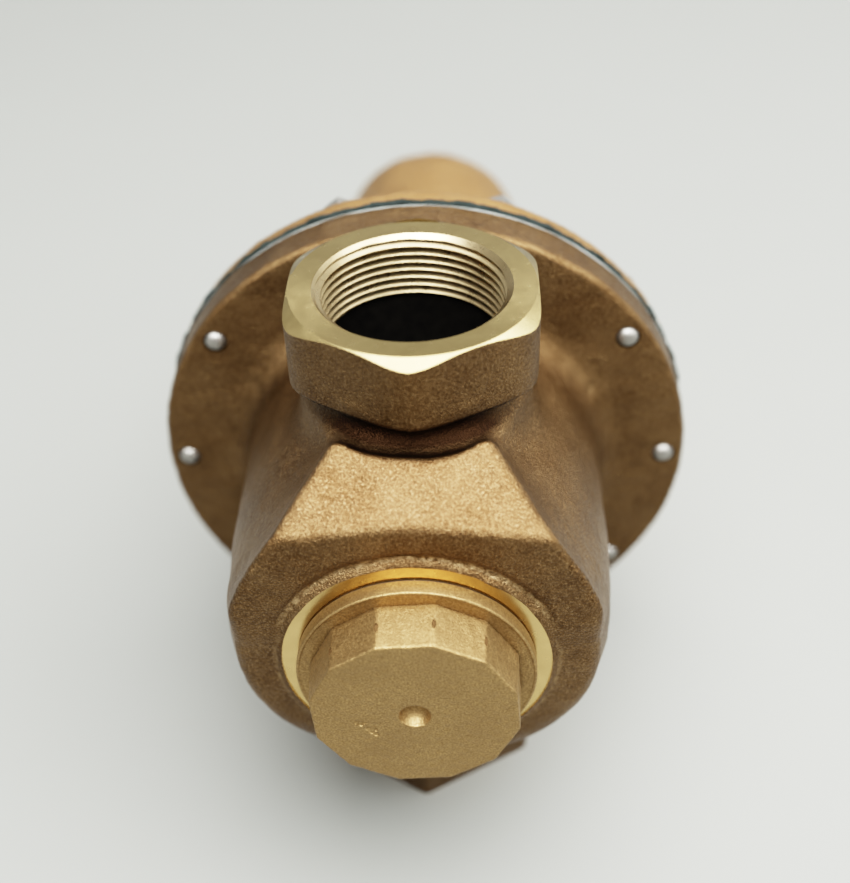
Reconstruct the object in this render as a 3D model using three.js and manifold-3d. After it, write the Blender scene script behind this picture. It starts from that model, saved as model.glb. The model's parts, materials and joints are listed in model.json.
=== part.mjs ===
// A direct-acting, diaphragm-type pressure reducing valve with 1-1/2 inch threaded ports.
//
// Millimetres. +Z runs up the pipe run to the inlet port, -Z to the outlet port.
// -Y runs along the stem axis to the bottom plug, +Y to the spring cage and its adjusting screw.
// All dimensions are measured from the point where the pipe run crosses the stem axis.
// The finished group is then moved along Y, so that its origin is the middle of the whole valve.

import * as THREE from 'three';
import { mergeVertices } from 'three/addons/utils/BufferGeometryUtils.js';
import { ConvexGeometry } from 'three/addons/geometries/ConvexGeometry.js';
import Module from 'manifold-3d';

const wasm = await Module();
wasm.setup();

// ---------------------------------------------------------------- driving dimensions

const GAP = 0.3;          // clearance between a piece and the bore that it sits or moves in
const JOINT_GAP = 0.05;   // clearance between two clamped faces
const ROUND = 36;         // facets around a large turned piece
const SMALL_ROUND = 18;   // facets around a small turned piece
const FINE_ROUND = 12;    // facets around a screw and its hole

const port = {
  half: 78,               // port face to the stem axis
  hexHeight: 19,
  acrossFlats: 60.4,
  cornerRadius: 33.3,     // the hexagon's corners are blunted to this radius
  faceRadius: 29.9,       // the machined face inside the corner chamfer
  chamferDrop: 2,
  threadRadius: 22.2,     // crest of the 1-1/2 inch pipe thread
  mouthRadius: 24,        // the mouth's countersink
  mouthDepth: 1.8,
};

const passage = {
  portRadius: 21.5,       // at the foot of the threaded bore
  chamberRadius: 16,      // where it enters the chamber
  inletEnd: { y: -28, z: 20 },
  outletStart: { y: 9, z: -22 },
};

// Corners of the roof over the inlet passage, on the +X side. Each has a twin on the -X side.
const roofCorners = {
  underHexagon: [17.4, -31, 58.5],
  neckFront: [26, -10, 59],
  neckBack: [26, 12, 59],
  neckRear: [14, 26, 59],
  abovePlug: [32, -50, 44],
  cheekFront: [46, -44, 18],
  cheekBack: [36, 24, 38],
  waistFront: [48, -20, 16],
  waistBack: [48, 20, 16],
  footFront: [40, -48, -4],
  footBack: [40, 20, -4],
};

const outletNeck = {
  start: { y: 2, z: -22, radius: 38 },
  endRadius: 29,
};

const flange = {
  radius: 76.4,
  front: 29.5,
  back: 41.2,
  edge: 0.8,
};

const drum = {
  front: -49.6,           // cast front face
  frontRadius: 45.7,
  edgeRadius: 3,
  waistRadius: 50,
  waistStart: -18,
  waistEnd: 20,
  waistTaper: 1.3,        // how much narrower the waist is behind the front edge
  rootRadius: 56,         // where the fillet meets the flange
  chin: { y: -50.2, z: -36.4, slope: 46 },   // flat across its lower front edge, slope in degrees
};

const boss = {
  radius: 34.6,
  faceRadius: 33.4,       // the machined face that the plug's collar rests on
  face: -50.3,
};

const frontChamber = { end: -12 };
const web = { end: -4, bore: 17.3 };
const rearChamber = {
  floorRadius: 19.3,
  lower: { radius: 30, y: 4 },
  upper: { radius: 42, y: 18 },
  radius: 46,
  mouthRadius: 57,
  ledge: 35.5,
};

const plug = {
  front: -66.9,
  base: -54.6,
  frontRadius: 25.35,
  baseRadius: 26.1,
  sides: 12,
  firstCorner: 18.9,      // degrees from +X towards +Z
  collarRadius: 29.5,
  threadRadius: 26.5,
  threadEnd: -38,
  hollowRadius: 21,
  hollowFloor: -57,
  guideRadius: 9.5,
  guideEnd: -40,
  dimpleRadius: 3.4,
  guideBoreRadius: 7.3,
};

const stem = {
  radius: 5,
  start: -48,
  end: 60,
  shoulderRadius: 8,
  shoulderStart: -21,
  shoulderEnd: 38.4,
};

const seat = {
  bore: 12.5,
  lipWidth: 1.6,
  lipRootWidth: 2.6,
  flangeRadius: 19.5,
  flangeFace: -15,
  lip: -16.5,
};

const disc = {
  radius: 15.5,
  face: -22.5,
  thickness: 5,
  holderRadius: 17.8,
  holderBack: -31.5,
  holderBackRadius: 11,
  holderTaper: 3,
  holderDrop: 1.2,        // how far the holder's rim stays behind the disc's face
  washerRadius: 9.5,
  nut: { acrossFlats: 14, height: 5.5 },
};

const gasket = { thickness: 0.7 };
const diaphragm = {
  thickness: 2.2,
  clampRadius: 57,
  flatRadius: 39,
  rise: 5,                // how far the rolled convolution stands out
  edgeInset: 0.4,
  washerRadius: 36,
  washerFaceRadius: 30,
  washerBevel: 1.6,
};

const plate = {
  thickness: 3.4,
  faceRadius: 36,
  radius: 38,
  faceBevel: 2.4,
  rimHeight: 3,
  rimInner: 35.5,
  floorRadius: 34,
  guideOuter: 1.5,        // a low ridge around the spring, measured from the wire's outside
  guideInner: 0.8,
  guideHeight: 1.6,
  nut: { acrossFlats: 16, height: 8 },
};

const cage = {
  rimThickness: 6,
  wall: 5.5,
  shoulderRadius: 60,     // outside of the bell at the rim
  barrelRadius: 30.5,
  neck: 92,               // where the bell becomes the barrel
  neckLength: 12,
  end: 168,
  endRadius: 10,          // rounding of the closed end
  bossRadius: 12,
  bossEnd: 171,
  ventRadius: 2.5,
};

const cageScrew = {
  count: 10,
  circleRadius: 70.5,
  radius: 3,
  headAcrossFlats: 9,
  headHeight: 4.6,
  tip: 1.1,               // stands out of the body flange
};

const spring = {
  radius: 18.5,           // centre line of the wire
  wire: 2.4,
  turns: 7,
  flatShare: 0.06,        // share of the wire that lies almost flat at each end
  endRise: 2.1,           // rise of both flat ends together, in wire radii
  stepsPerTurn: 12,
  wireSides: 6,
};

const button = {
  face: 118,
  radius: 22.5,
  rim: 7,
  shoulder: 3,
  hubRadius: 10,
  hubEnd: 135,
  socketFloor: 126.5,
};

const adjuster = { radius: 6, tipBevel: 2, headAcrossFlats: 17, headStart: 192, headHeight: 9 };
const lockNut = { acrossFlats: 19, height: 9, washerRadius: 11, washerThickness: 1.6 };

// Planes that follow from the dimensions above.
const gasketBack = flange.back + JOINT_GAP + gasket.thickness;
const diaphragmFront = gasketBack + JOINT_GAP;
const diaphragmBack = diaphragmFront + diaphragm.thickness;
const cageRimFront = diaphragmBack + JOINT_GAP;
const cageRimBack = cageRimFront + cage.rimThickness;
const plateFront = diaphragmBack + JOINT_GAP;
const plateBack = plateFront + plate.thickness;
const hexFoot = port.half - port.hexHeight;
const adjusterEnd = adjuster.headStart + adjuster.headHeight;
const middle = (plug.front + adjusterEnd) / 2;

// ---------------------------------------------------------------- materials

function metal(color, roughness) {
  return new THREE.MeshStandardMaterial({ color, roughness, metalness: 1 });
}

function soft(color, roughness) {
  return new THREE.MeshStandardMaterial({ color, roughness, metalness: 0 });
}

const castBronze = metal(0x96784f, 0.6);
const cageBronze = metal(0xc49a5c, 0.5);
const machinedBrass = metal(0xd2b06a, 0.35);
const steel = metal(0xaaa69b, 0.4);
const springSteel = metal(0x6f7276, 0.45);
const rubber = soft(0x1c2424, 0.75);
const fibre = soft(0xc9ccc4, 0.9);

// ---------------------------------------------------------------- solids

// A merged, position-only copy of a geometry, leaving out triangles that shrink to a line.
function cleaned(geometry) {
  const bare = geometry.clone();
  bare.deleteAttribute('normal');
  bare.deleteAttribute('uv');
  const merged = mergeVertices(bare, 1e-4);
  const index = [];
  const source = merged.index.array;
  for (let i = 0; i < source.length; i += 3) {
    const [a, b, c] = [source[i], source[i + 1], source[i + 2]];
    if (a !== b && b !== c && c !== a) index.push(a, b, c);
  }
  merged.setIndex(index);
  return merged;
}

function toSolid(geometry) {
  const merged = cleaned(geometry);
  return new wasm.Manifold(new wasm.Mesh({
    numProp: 3,
    vertProperties: new Float32Array(merged.attributes.position.array),
    triVerts: new Uint32Array(merged.index.array),
  }));
}

function toGeometry(solid) {
  const mesh = solid.getMesh();
  const geometry = new THREE.BufferGeometry();
  geometry.setAttribute('position', new THREE.BufferAttribute(mesh.vertProperties, 3));
  geometry.setIndex(new THREE.BufferAttribute(mesh.triVerts, 1));
  return geometry;
}

function join(...geometries) {
  const solids = geometries.map(toSolid);
  return toGeometry(solids.reduce((sum, next) => sum.add(next)));
}

function cut(base, ...tools) {
  const solids = tools.map(toSolid);
  return toGeometry(solids.reduce((rest, tool) => rest.subtract(tool), toSolid(base)));
}

function common(first, second) {
  return toGeometry(toSolid(first).intersect(toSolid(second)));
}

// Turns a profile of [radius, y] pairs about the Y axis. The profile runs anticlockwise.
function turned(profile, facets = ROUND) {
  const points = profile.map(([radius, y]) => new THREE.Vector2(radius, y));
  return new THREE.LatheGeometry(points, facets);
}

// A turned ring: its profile closes on itself.
function ring(profile, facets = ROUND) {
  return turned([...profile, profile[0]], facets);
}

function washer(inner, outer, from, to, facets = ROUND) {
  return ring([[inner, from], [outer, from], [outer, to], [inner, to]], facets);
}

function rod(radius, from, to, facets = ROUND) {
  return turned([[0, from], [radius, from], [radius, to], [0, to]], facets);
}

// Moves a geometry built about the Y axis so that its axis is Z: y becomes z.
function upright(geometry) {
  return geometry.rotateX(Math.PI / 2);
}

// Points on a rounded corner of a turned profile, from one angle to another in degrees.
function arc(centreRadius, centreY, radius, fromDegrees, toDegrees, steps) {
  const points = [];
  for (let i = 0; i <= steps; i += 1) {
    const angle = THREE.MathUtils.degToRad(fromDegrees + ((toDegrees - fromDegrees) * i) / steps);
    points.push([centreRadius + radius * Math.cos(angle), centreY + radius * Math.sin(angle)]);
  }
  return points;
}

// A hexagon of the given width across its flats, its corners rounded off by a turned chamfer.
function hexNut(acrossFlats, from, to, bore) {
  const cornerRadius = acrossFlats / Math.sqrt(3);
  const chamfer = cornerRadius - acrossFlats / 2;
  const prism = new THREE.CylinderGeometry(cornerRadius, cornerRadius, to - from, 6);
  prism.translate(0, (from + to) / 2, 0);
  const limit = turned([
    [0, from],
    [acrossFlats / 2, from],
    [cornerRadius, from + chamfer * 0.6],
    [cornerRadius, to - chamfer * 0.6],
    [acrossFlats / 2, to],
    [0, to],
  ], FINE_ROUND);
  const nut = common(prism, limit);
  if (!bore) return nut;
  return cut(nut, rod(bore, from - 1, to + 1, SMALL_ROUND));
}

// A sloping round duct: level circles whose centre moves from one end to the other.
function slopingDuct(top, bottom) {
  const height = top.z - bottom.z;
  const duct = upright(new THREE.CylinderGeometry(top.radius, bottom.radius, height, SMALL_ROUND));
  duct.translate(0, 0, (top.z + bottom.z) / 2);
  const slope = (top.y - bottom.y) / height;
  const offset = top.y - slope * top.z;
  duct.applyMatrix4(new THREE.Matrix4().set(
    1, 0, 0, 0,
    0, 1, slope, offset,
    0, 0, 1, 0,
    0, 0, 0, 1,
  ));
  return duct;
}

// ---------------------------------------------------------------- valve body

// The hexagonal end of a port, seen as the inlet: its foot is at the neck and its face at the top.
function portHexagon() {
  const cornerRadius = port.acrossFlats / Math.sqrt(3);
  const prism = upright(new THREE.CylinderGeometry(cornerRadius, cornerRadius, port.hexHeight, 6));
  prism.translate(0, 0, port.half - port.hexHeight / 2);
  const limit = upright(turned([
    [0, hexFoot],
    [port.faceRadius, hexFoot],
    [port.cornerRadius, hexFoot + 1.5],
    [port.cornerRadius, port.half - port.chamferDrop],
    [port.faceRadius, port.half],
    [0, port.half],
  ]));
  return common(prism, limit);
}

// The roof over the inlet passage: a faceted block from the neck down to the top of the front drum.
function inletRoof() {
  const points = [];
  for (const [x, y, z] of Object.values(roofCorners)) {
    points.push(new THREE.Vector3(x, y, z), new THREE.Vector3(-x, y, z));
  }
  return new ConvexGeometry(points);
}

// A block whose upper face slopes down from the bowl's front to the outlet's neck, as a cutting tool.
function chinTrim() {
  const size = 60;
  const block = new THREE.BoxGeometry(2 * size, size, size);
  block.translate(0, -size / 2, 0);
  block.rotateX(THREE.MathUtils.degToRad(drum.chin.slope));
  return block.translate(0, drum.chin.y, drum.chin.z);
}

function bodyOutside() {
  const disk = turned([
    [0, flange.front],
    [flange.radius - flange.edge, flange.front],
    [flange.radius, flange.front + flange.edge],
    [flange.radius, flange.back],
    [0, flange.back],
  ]);
  const bowl = turned([
    [0, drum.front],
    ...arc(
      drum.frontRadius - drum.edgeRadius, drum.front + drum.edgeRadius,
      drum.edgeRadius, -90, 0, 4,
    ),
    [drum.waistRadius - drum.waistTaper, drum.front + 4 * drum.edgeRadius],
    [drum.waistRadius, drum.waistStart],
    [drum.waistRadius, drum.waistEnd],
    [drum.waistRadius + 2, flange.front - 3],
    [drum.rootRadius, flange.front + 0.5],
    [0, flange.front + 0.5],
  ]);
  const plugBoss = turned([
    [0, boss.face],
    [boss.faceRadius, boss.face],
    [boss.radius, boss.face + 1],
    [boss.radius, drum.front + 2],
    [0, drum.front + 2],
  ]);
  const neckEnd = { y: 0, z: -hexFoot - 0.5, radius: outletNeck.endRadius };
  const outletShell = slopingDuct(outletNeck.start, neckEnd);
  const outletHexagon = portHexagon().rotateX(Math.PI);
  const trimmedBowl = cut(bowl, chinTrim());
  return join(
    disk, trimmedBowl, plugBoss, inletRoof(), portHexagon(), outletShell, outletHexagon,
  );
}

// The threaded bore of a port with its countersunk mouth, as a cutting tool.
function portBore() {
  return upright(turned([
    [0, hexFoot - 1],
    [passage.portRadius, hexFoot - 1],
    [port.threadRadius, hexFoot - 1 + 1.5],
    [port.threadRadius, port.half - port.mouthDepth],
    [port.mouthRadius, port.half],
    [port.mouthRadius, port.half + 1],
    [0, port.half + 1],
  ]));
}

function screwPosition(index) {
  const angle = (2 * Math.PI * index) / cageScrew.count;
  return [cageScrew.circleRadius * Math.cos(angle), cageScrew.circleRadius * Math.sin(angle)];
}

// Ten holes on the screw circle, as cutting tools.
function screwHoles(radius, from, to) {
  const holes = [];
  for (let i = 0; i < cageScrew.count; i += 1) {
    const [x, z] = screwPosition(i);
    holes.push(rod(radius, from, to, FINE_ROUND).translate(x, 0, z));
  }
  return holes;
}

function valveBody() {
  const frontBore = rod(plug.threadRadius + GAP, boss.face - 1, frontChamber.end);
  const throat = rod(web.bore, frontChamber.end - 1, web.end + 1);
  const rearBore = turned([
    [0, web.end],
    [rearChamber.floorRadius, web.end],
    [rearChamber.lower.radius, rearChamber.lower.y],
    [rearChamber.upper.radius, rearChamber.upper.y],
    [rearChamber.radius, rearChamber.ledge - 4],
    [rearChamber.mouthRadius, rearChamber.ledge],
    [rearChamber.mouthRadius, flange.back + 1],
    [0, flange.back + 1],
  ]);
  const inletPassage = slopingDuct(
    { y: 0, z: hexFoot, radius: passage.portRadius },
    { ...passage.inletEnd, radius: passage.chamberRadius },
  );
  const outletPassage = slopingDuct(
    { ...passage.outletStart, radius: passage.chamberRadius },
    { y: 0, z: -hexFoot, radius: passage.portRadius },
  );
  const outletBore = portBore().rotateX(Math.PI);
  const holes = screwHoles(cageScrew.radius + GAP, flange.front - 1, flange.back + 1);
  return cut(
    bodyOutside(), frontBore, throat, rearBore,
    inletPassage, outletPassage, portBore(), outletBore, ...holes,
  );
}

// ---------------------------------------------------------------- bottom plug

function bottomPlug() {
  const head = new THREE.CylinderGeometry(
    plug.baseRadius, plug.frontRadius, plug.base - plug.front, plug.sides,
  );
  head.rotateY(-THREE.MathUtils.degToRad(plug.firstCorner));
  head.translate(0, (plug.base + plug.front) / 2, 0);
  const collarBack = boss.face - gasket.thickness - 2 * JOINT_GAP;
  const collar = rod(plug.collarRadius, plug.base - 0.2, collarBack);
  const thread = rod(plug.threadRadius, collarBack - 0.5, plug.threadEnd);
  const hollow = ring([
    [plug.guideRadius, plug.hollowFloor],
    [plug.hollowRadius, plug.hollowFloor],
    [plug.hollowRadius, plug.threadEnd + 5],
    [plug.guideRadius, plug.threadEnd + 5],
  ]);
  const guideEndFace = rod(plug.guideRadius + 1, plug.guideEnd, plug.threadEnd + 5);
  const guideBore = rod(plug.guideBoreRadius, plug.hollowFloor, plug.threadEnd + 5, SMALL_ROUND);
  const dimple = new THREE.SphereGeometry(plug.dimpleRadius * 1.25, SMALL_ROUND, 10);
  dimple.translate(0, plug.front - plug.dimpleRadius * 0.75, 0);
  return cut(join(head, collar, thread), hollow, guideEndFace, guideBore, dimple);
}

function plugGasket() {
  const from = boss.face - gasket.thickness - JOINT_GAP;
  return washer(plug.threadRadius + GAP, plug.collarRadius - GAP, from, boss.face - JOINT_GAP);
}

function guideBushing() {
  const outer = plug.guideBoreRadius - GAP;
  return washer(stem.radius + GAP, outer, plug.hollowFloor + 1, plug.guideEnd, SMALL_ROUND);
}

// ---------------------------------------------------------------- trim

function seatRing() {
  return ring([
    [seat.bore, seat.lip],
    [seat.bore + seat.lipWidth, seat.lip],
    [seat.bore + seat.lipRootWidth, seat.flangeFace],
    [seat.flangeRadius, seat.flangeFace],
    [seat.flangeRadius, frontChamber.end - JOINT_GAP],
    [web.bore - GAP, frontChamber.end - JOINT_GAP],
    [web.bore - GAP, web.end],
    [seat.bore, web.end],
  ]);
}

function valveStem() {
  const shoulderEnd = stem.shoulderEnd - JOINT_GAP;
  return turned([
    [0, stem.start],
    [stem.radius - 1, stem.start],
    [stem.radius, stem.start + 1],
    [stem.radius, stem.shoulderStart],
    [stem.shoulderRadius, stem.shoulderStart],
    [stem.shoulderRadius, shoulderEnd],
    [stem.radius, shoulderEnd],
    [stem.radius, stem.end - 1],
    [stem.radius - 1, stem.end],
    [0, stem.end],
  ], SMALL_ROUND);
}

function seatDisc() {
  return washer(stem.radius + GAP, disc.radius, disc.face - disc.thickness, disc.face);
}

function discHolder() {
  const floor = disc.face - disc.thickness - JOINT_GAP;
  const bore = stem.radius + GAP;
  const rim = disc.face - disc.holderDrop;
  return ring([
    [bore, disc.holderBack],
    [disc.holderBackRadius, disc.holderBack],
    [disc.holderRadius, disc.holderBack + disc.holderTaper],
    [disc.holderRadius, rim],
    [disc.radius + GAP, rim],
    [disc.radius + GAP, floor],
    [bore, floor],
  ]);
}

function discWasher() {
  const from = disc.face + JOINT_GAP;
  const to = stem.shoulderStart - JOINT_GAP;
  return washer(stem.radius + GAP, disc.washerRadius, from, to, SMALL_ROUND);
}

function discNut() {
  const to = disc.holderBack - JOINT_GAP;
  return hexNut(disc.nut.acrossFlats, to - disc.nut.height, to, stem.radius + GAP);
}

function diaphragmWasher() {
  return ring([
    [stem.radius + GAP, stem.shoulderEnd],
    [diaphragm.washerFaceRadius, stem.shoulderEnd],
    [diaphragm.washerRadius, stem.shoulderEnd + diaphragm.washerBevel],
    [diaphragm.washerRadius, diaphragmFront - JOINT_GAP],
    [stem.radius + GAP, diaphragmFront - JOINT_GAP],
  ]);
}

function pressurePlate() {
  const springOutside = spring.radius + spring.wire;
  return ring([
    [stem.radius + GAP, plateFront],
    [plate.faceRadius, plateFront],
    [plate.radius, plateFront + plate.faceBevel],
    [plate.radius, plateBack + plate.rimHeight],
    [plate.rimInner, plateBack + plate.rimHeight],
    [plate.floorRadius, plateBack],
    [springOutside + plate.guideOuter, plateBack],
    [springOutside + plate.guideInner, plateBack + plate.guideHeight],
    [springOutside + plate.guideInner, plateBack + GAP],
    [stem.radius + GAP, plateBack],
  ]);
}

function stemNut() {
  const from = plateBack + JOINT_GAP;
  return hexNut(plate.nut.acrossFlats, from, from + plate.nut.height, stem.radius + GAP);
}

// ---------------------------------------------------------------- diaphragm

function diaphragmGasket() {
  const plate = washer(
    diaphragm.clampRadius, flange.radius - 0.2, flange.back + JOINT_GAP, gasketBack,
  );
  return cut(plate, ...screwHoles(cageScrew.radius + GAP, flange.back - 1, gasketBack + 1));
}

// The rubber sheet: a flat rim, one rolled convolution and a flat middle.
function diaphragmSheet() {
  const centre = (diaphragm.clampRadius + diaphragm.flatRadius) / 2;
  const half = (diaphragm.clampRadius - diaphragm.flatRadius) / 2 - 0.8;
  const front = [];
  const back = [];
  const steps = 6;
  for (let i = 0; i <= steps; i += 1) {
    const across = -1 + (2 * i) / steps;
    const lift = diaphragm.rise * Math.cos((Math.PI / 2) * across) ** 2;
    front.push([centre + half * across, diaphragmFront + lift]);
    back.unshift([centre + half * across, diaphragmBack + lift]);
  }
  const sheet = ring([
    [stem.radius + GAP, diaphragmFront],
    ...front,
    [flange.radius - diaphragm.edgeInset, diaphragmFront],
    [flange.radius - diaphragm.edgeInset, diaphragmBack],
    ...back,
    [stem.radius + GAP, diaphragmBack],
  ]);
  return cut(sheet, ...screwHoles(cageScrew.radius + GAP, diaphragmFront - 1, diaphragmBack + 1));
}

// ---------------------------------------------------------------- spring cage

function springCage() {
  const inner = cage.barrelRadius - cage.wall;
  const bellEnd = cage.neck - cage.neckLength;
  const shell = ring([
    [diaphragm.clampRadius, cageRimFront],
    [flange.radius, cageRimFront],
    [flange.radius, cageRimBack],
    [cage.shoulderRadius, cageRimBack],
    [cage.shoulderRadius - 3, cageRimBack + 5],
    [cage.shoulderRadius - 12, cageRimBack + 18],
    [cage.barrelRadius + 5, bellEnd],
    [cage.barrelRadius + 2, cage.neck],
    ...arc(cage.barrelRadius - cage.endRadius, cage.end - cage.endRadius, cage.endRadius, 0, 90, 4),
    [cage.bossRadius, cage.end],
    [cage.bossRadius, cage.bossEnd],
    [adjuster.radius + GAP, cage.bossEnd],
    [adjuster.radius + GAP, cage.end - cage.wall - 4],
    [inner - 4, cage.end - cage.wall - 2],
    [inner, cage.end - cage.wall - 6],
    [inner, cage.neck],
    [cage.barrelRadius - 1, bellEnd],
    [cage.shoulderRadius - 18, cageRimBack + 17],
    [cage.shoulderRadius - 9, cageRimBack + 4],
    [cage.shoulderRadius - 6, cageRimFront + 2],
  ]);
  const vent = new THREE.CylinderGeometry(cage.ventRadius, cage.ventRadius, 30, SMALL_ROUND);
  vent.rotateZ(Math.PI / 2).translate(cage.shoulderRadius - 13, cageRimBack + 15, 0);
  const holes = screwHoles(cageScrew.radius + GAP, cageRimFront - 1, cageRimBack + 1);
  return cut(shell, vent, ...holes);
}

// A hexagon-headed screw: the shank runs from the cage rim to a domed tip in front of the body flange.
function cageScrewSolid() {
  const headFrom = cageRimBack + JOINT_GAP;
  const tip = flange.front - cageScrew.tip;
  const head = hexNut(cageScrew.headAcrossFlats, headFrom, headFrom + cageScrew.headHeight);
  const shank = turned([
    [0, tip],
    [cageScrew.radius * 0.55, tip + 0.15],
    [cageScrew.radius * 0.9, tip + 0.6],
    [cageScrew.radius, tip + 1.3],
    [cageScrew.radius, headFrom + 1],
    [0, headFrom + 1],
  ], FINE_ROUND);
  return join(head, shank);
}

// ---------------------------------------------------------------- setting spring and adjuster

// The spring's wire follows a helix whose first and last turn lie almost flat.
class SpringPath extends THREE.Curve {
  constructor(from, to) {
    super();
    this.from = from;
    this.to = to;
  }

  getPoint(t, target = new THREE.Vector3()) {
    const { clamp } = THREE.MathUtils;
    const angle = 2 * Math.PI * spring.turns * t;
    const flat = spring.flatShare;
    const firstFlat = clamp(t / flat, 0, 1);
    const middleShare = clamp((t - flat) / (1 - 2 * flat), 0, 1);
    const lastFlat = clamp((t - 1 + flat) / flat, 0, 1);
    const endRise = spring.wire * spring.endRise;
    const middleRise = this.to - this.from - endRise;
    const y = this.from + (endRise * (firstFlat + lastFlat)) / 2 + middleRise * middleShare;
    return target.set(spring.radius * Math.cos(angle), y, spring.radius * Math.sin(angle));
  }
}

function adjustingSpring() {
  const section = new THREE.Shape();
  section.absarc(0, 0, spring.wire, 0, 2 * Math.PI, false);
  const from = plateBack + GAP + spring.wire;
  const to = button.face - GAP - spring.wire;
  return new THREE.ExtrudeGeometry(section, {
    steps: spring.turns * spring.stepsPerTurn,
    curveSegments: spring.wireSides / 2,
    extrudePath: new SpringPath(from, to),
  });
}

function springButton() {
  return turned([
    [0, button.face],
    [button.radius, button.face],
    [button.radius, button.face + button.rim],
    [button.hubRadius, button.face + button.rim + button.shoulder],
    [button.hubRadius, button.hubEnd],
    [adjuster.radius + GAP, button.hubEnd],
    [adjuster.radius + GAP, button.socketFloor],
    [0, button.socketFloor],
  ]);
}

function adjustingScrew() {
  const head = hexNut(adjuster.headAcrossFlats, adjuster.headStart, adjusterEnd);
  const tip = button.socketFloor + GAP;
  const shank = turned([
    [0, tip],
    [adjuster.radius - adjuster.tipBevel, tip],
    [adjuster.radius, tip + adjuster.tipBevel],
    [adjuster.radius, adjuster.headStart + 1],
    [0, adjuster.headStart + 1],
  ], SMALL_ROUND);
  return join(head, shank);
}

function lockWasher() {
  const from = cage.bossEnd + JOINT_GAP;
  return washer(
    adjuster.radius + GAP, lockNut.washerRadius, from, from + lockNut.washerThickness, SMALL_ROUND,
  );
}

function lockNutSolid() {
  const from = cage.bossEnd + lockNut.washerThickness + 2 * JOINT_GAP;
  return hexNut(lockNut.acrossFlats, from, from + lockNut.height, adjuster.radius + GAP);
}

// ---------------------------------------------------------------- assembly

function named(name, geometry, material) {
  const mesh = new THREE.Mesh(geometry, material);
  mesh.name = name;
  return mesh;
}

// Everything that stands still with the body.
const casing = new THREE.Group();
casing.add(named('valve_body', valveBody(), castBronze));
casing.add(named('bottom_plug', bottomPlug(), machinedBrass));
casing.add(named('plug_gasket', plugGasket(), fibre));
casing.add(named('guide_bushing', guideBushing(), machinedBrass));
casing.add(named('seat_ring', seatRing(), machinedBrass));
casing.add(named('diaphragm_gasket', diaphragmGasket(), fibre));
casing.add(named('diaphragm', diaphragmSheet(), rubber));
casing.add(named('spring_cage', springCage(), cageBronze));
for (let i = 0; i < cageScrew.count; i += 1) {
  const [x, z] = screwPosition(i);
  const number = String(i + 1).padStart(2, '0');
  const screw = named(`cage_screw_${number}`, cageScrewSolid(), steel);
  screw.position.set(x, 0, z);
  casing.add(screw);
}

// Everything that slides with the stem.
const trim = new THREE.Group();
trim.add(named('valve_stem', valveStem(), steel));
trim.add(named('disc_holder', discHolder(), machinedBrass));
trim.add(named('seat_disc', seatDisc(), rubber));
trim.add(named('disc_washer', discWasher(), steel));
trim.add(named('disc_nut', discNut(), steel));
trim.add(named('diaphragm_washer', diaphragmWasher(), machinedBrass));
trim.add(named('pressure_plate', pressurePlate(), steel));
trim.add(named('stem_nut', stemNut(), steel));

// The setting spring and what sets it.
const setting = new THREE.Group();
setting.add(named('adjusting_spring', adjustingSpring(), springSteel));
setting.add(named('spring_button', springButton(), steel));
setting.add(named('adjusting_screw', adjustingScrew(), steel));
setting.add(named('lock_washer', lockWasher(), steel));
setting.add(named('lock_nut', lockNutSolid(), steel));

const group = new THREE.Group();
group.add(casing, trim, setting);
group.position.y = -middle;

export default group;
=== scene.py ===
# A bronze pressure reducing valve, standing on its outlet port.
#
# Shapes are worked out in millimetres about the point where the pipe run (Z) crosses the stem axis (Y),
# and to_frame() turns them into the frame's metres.

import json
import math

import bpy
import numpy as np
import openvdb
from mathutils import Matrix, Vector


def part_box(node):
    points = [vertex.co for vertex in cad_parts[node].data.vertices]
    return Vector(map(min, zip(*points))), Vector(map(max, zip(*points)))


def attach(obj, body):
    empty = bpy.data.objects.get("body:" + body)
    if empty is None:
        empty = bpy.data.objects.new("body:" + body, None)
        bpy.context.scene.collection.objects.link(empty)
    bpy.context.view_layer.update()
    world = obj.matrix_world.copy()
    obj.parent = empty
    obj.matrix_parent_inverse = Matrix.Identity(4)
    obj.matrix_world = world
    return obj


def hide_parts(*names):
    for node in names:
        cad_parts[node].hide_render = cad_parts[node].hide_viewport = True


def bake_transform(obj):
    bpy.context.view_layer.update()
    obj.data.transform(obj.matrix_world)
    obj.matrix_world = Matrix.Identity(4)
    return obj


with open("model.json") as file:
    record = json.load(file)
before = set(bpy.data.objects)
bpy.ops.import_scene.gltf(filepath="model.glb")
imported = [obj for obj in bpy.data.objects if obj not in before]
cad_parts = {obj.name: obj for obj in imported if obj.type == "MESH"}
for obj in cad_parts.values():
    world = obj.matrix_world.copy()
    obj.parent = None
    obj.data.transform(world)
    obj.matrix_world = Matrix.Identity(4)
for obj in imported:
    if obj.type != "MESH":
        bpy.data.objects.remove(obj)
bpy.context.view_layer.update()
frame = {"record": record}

MM = 0.001
TAU = 2 * math.pi
MOUNTS = {mount["name"]: mount for mount in frame["record"]["mounts"]}
RUN_Y = MOUNTS["inlet_face"]["pos_m"][1]   # the pipe run's place along the frame's Y axis


def box_mm(node):
    """A node's lowest and highest corners in millimetres about the crossing of the two axes."""
    shift = Vector((0, RUN_Y, 0))
    return [tuple((Vector(corner) - shift) / MM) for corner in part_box(node)]


def extent(node):
    """A turned node's front and back along the stem axis, and its radius."""
    low, high = box_mm(node)
    return low[1], high[1], high[2]


def to_frame(points):
    """Points in millimetres about the crossing of the axes, in the frame's metres."""
    return (np.asarray(points, float) * MM) + (0, RUN_Y, 0)


# ---- dimensions, from the frame

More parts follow.
